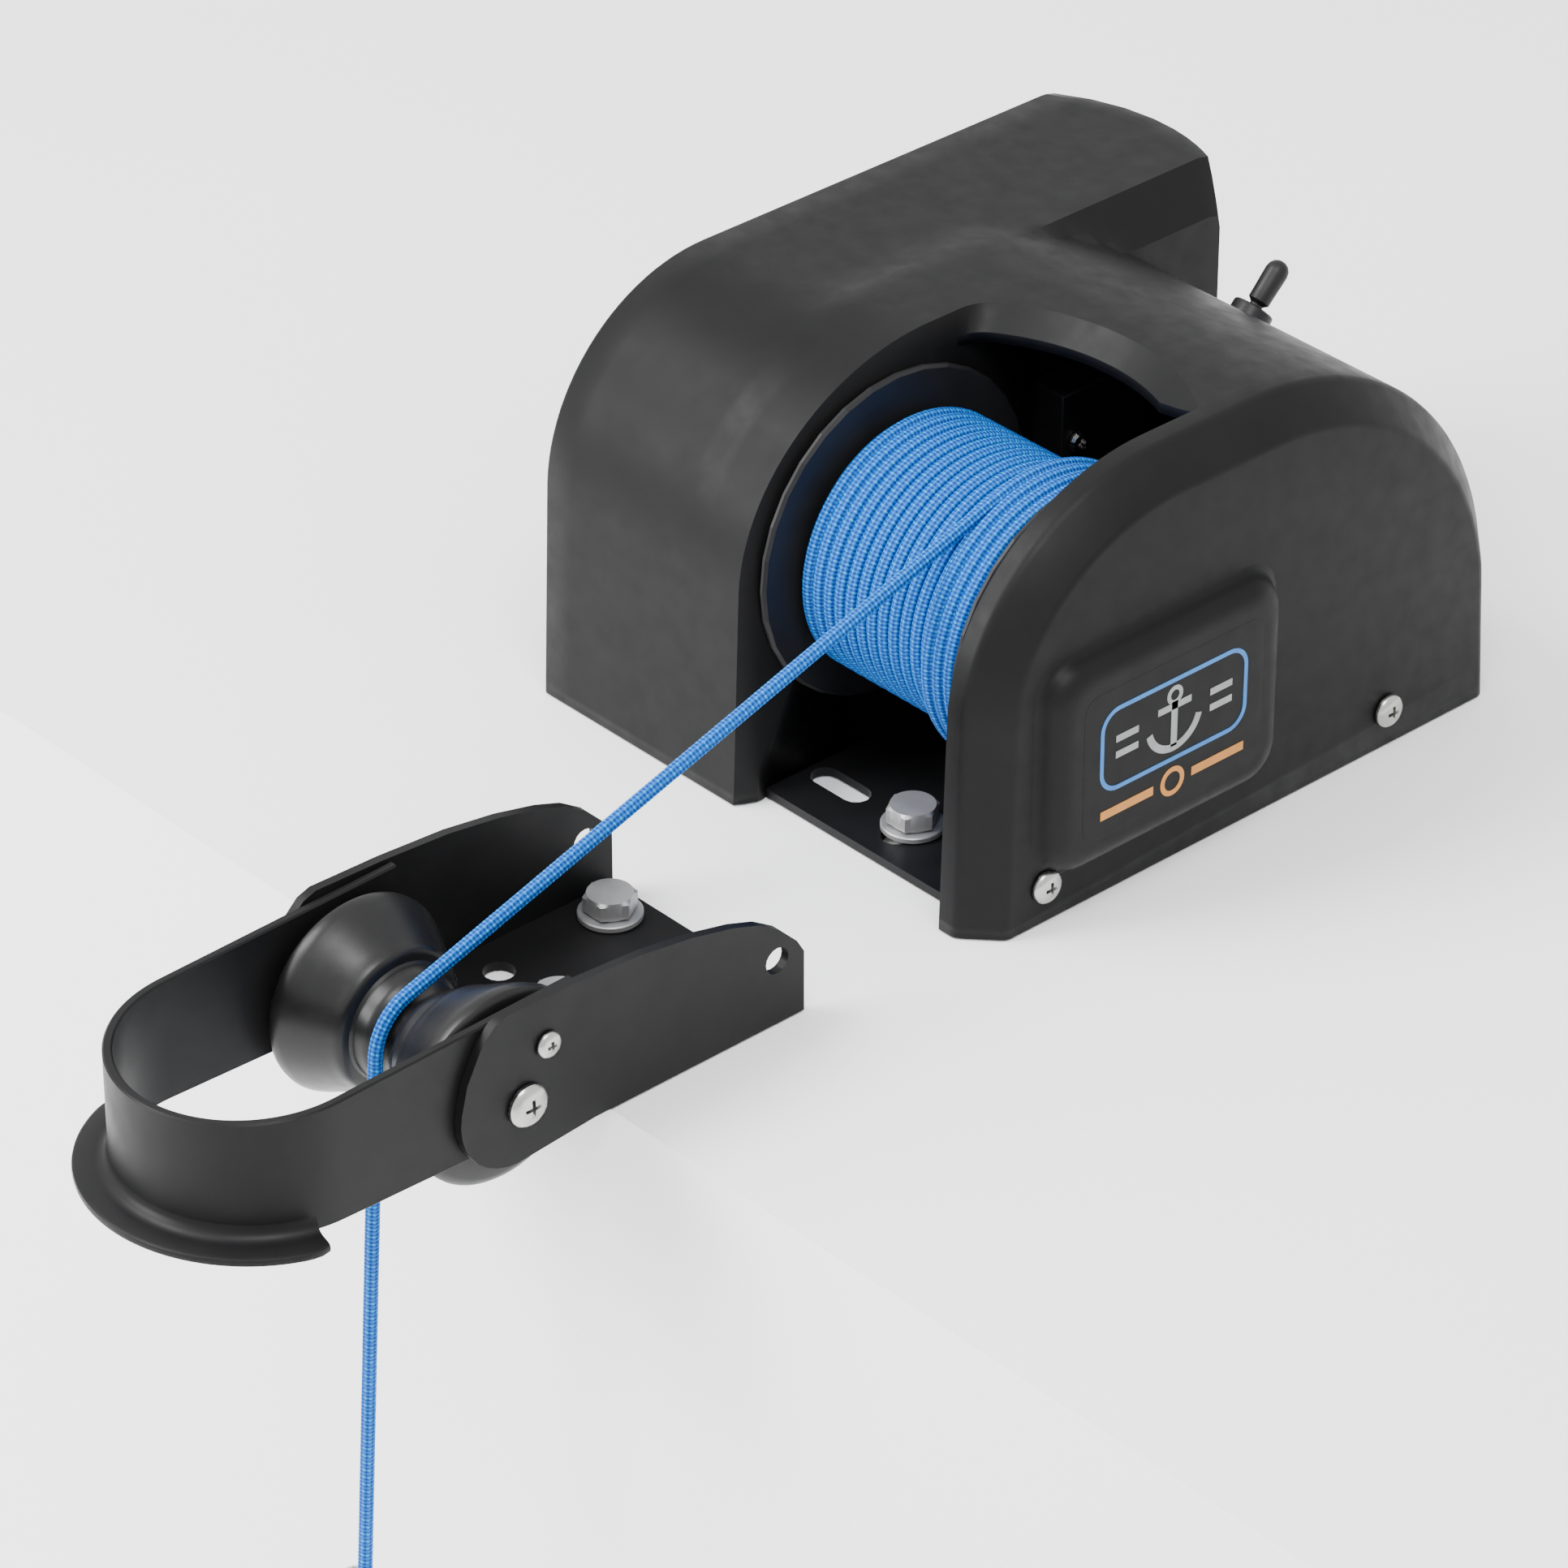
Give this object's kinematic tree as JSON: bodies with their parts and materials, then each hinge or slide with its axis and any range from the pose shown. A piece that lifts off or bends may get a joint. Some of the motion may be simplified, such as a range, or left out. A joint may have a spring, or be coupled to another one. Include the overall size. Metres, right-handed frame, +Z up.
{
  "type": "anchor windlass",
  "caption": "Electric rope-drum anchor winch with a moulded cover and toggle, and a separate bow roller its rope runs over.",
  "frame": {"origin": "middle of the winch's footprint, on the underside of its base plate, at deck level", "axes": "+X from the motor side to the badge side along the drum's axis, -Y forward from the winch to the bow roller, +Z up"},
  "size_m": [0.1848, 0.4439, 0.3025],
  "materials": {
    "moulded_plastic": "satin charcoal moulded plastic",
    "dark_plastic": "satin black plastic",
    "magnet": "dark ferrite",
    "painted_steel": "satin black paint on steel",
    "zinc": "grey zinc plating",
    "stainless": "stainless",
    "steel": "machined steel",
    "bronze": "sintered bronze",
    "copper": "copper segments",
    "rubber": "soft black rubber",
    "rope_fibre": "braided blue cord",
    "badge_film": "printed film"
  },
  "bodies": {
    "winch_and_bow": {"cover": "moulded_plastic", "electrical_box": "dark_plastic", "toggle_bushing": "dark_plastic", "toggle_body": "dark_plastic", "motor_end_cap": "dark_plastic", "motor_magnet_front": "magnet", "motor_magnet_rear": "magnet", "base_plate": "painted_steel", "gearbox_plate_inner": "painted_steel", "gearbox_plate_outer": "painted_steel", "drum_bracket": "painted_steel", "motor_case": "painted_steel", "bow_channel": "painted_steel", "stirrup_band": "painted_steel", "electrical_box_stand": "painted_steel", "anchor_bolt": "zinc", "anchor_bolt_washer": "zinc", "bow_bolt_rear": "zinc", "bow_bolt_rear_washer": "zinc", "bow_bolt_front": "zinc", "bow_bolt_front_washer": "zinc", "toggle_nut": "zinc", "cover_screw_left_front": "stainless", "cover_screw_left_rear": "stainless", "cover_screw_right_front": "stainless", "cover_screw_right_rear": "stainless", "axle_screw_left": "stainless", "axle_screw_right": "stainless", "band_screw_left": "stainless", "band_screw_right": "stainless", "electrical_box_screw": "stainless", "rope_thimble": "stainless", "anchor_shackle": "stainless", "shackle_pin": "stainless", "intermediate_pin": "steel", "gearbox_spacer_1": "steel", "gearbox_spacer_2": "steel", "roller_axle": "steel", "drum_bush_inner": "bronze", "drum_bush_outer": "bronze", "drum_bush_right": "bronze", "cable_grommet": "rubber", "rope_run": "rope_fibre", "badge": "badge_film"},
    "drum_group": {"drum": "dark_plastic", "rope_winding": "rope_fibre", "drum_shaft": "steel", "shaft_clip": "steel", "final_gear": "steel"},
    "intermediate_group": {"intermediate_wheel": "steel", "intermediate_pinion": "steel"},
    "motor_rotor": {"motor_shaft": "steel", "motor_pinion": "steel", "motor_armature": "steel", "motor_commutator": "copper"},
    "roller_group": {"bow_roller": "dark_plastic"},
    "toggle_group": {"toggle_lever": "rubber"}
  },
  "joints": [
    {"name": "drum_spin", "type": "hinge", "parent": "winch_and_bow", "child": "drum_group", "pos_m": [0, -0.0435, 0.0655], "axis": [1, 0, 0], "continuous": true},
    {"name": "intermediate_spin", "type": "hinge", "parent": "winch_and_bow", "child": "intermediate_group", "pos_m": [-0.052, 0.00405, 0.04706], "axis": [1, 0, 0], "continuous": true},
    {"name": "motor_spin", "type": "hinge", "parent": "winch_and_bow", "child": "motor_rotor", "pos_m": [-0.08, 0.03929, 0.05988], "axis": [1, 0, 0], "continuous": true},
    {"name": "roller_spin", "type": "hinge", "parent": "winch_and_bow", "child": "roller_group", "pos_m": [0.0037, -0.2399, 0.0147], "axis": [1, 0, 0], "continuous": true},
    {"name": "toggle_rock", "type": "hinge", "parent": "winch_and_bow", "child": "toggle_group", "pos_m": [-0.0204, 0.07079, 0.09299], "axis": [1, 0, 0], "range_deg": [-15, 15], "stiffness_Nm_per_rad": 0.05}
  ],
  "couplings": [
    {"joint": "intermediate_spin", "follows": "drum_spin", "ratio": -4.6667},
    {"joint": "motor_spin", "follows": "drum_spin", "ratio": 18.667},
    {"joint": "roller_spin", "follows": "drum_spin", "ratio": 2.6}
  ]
}
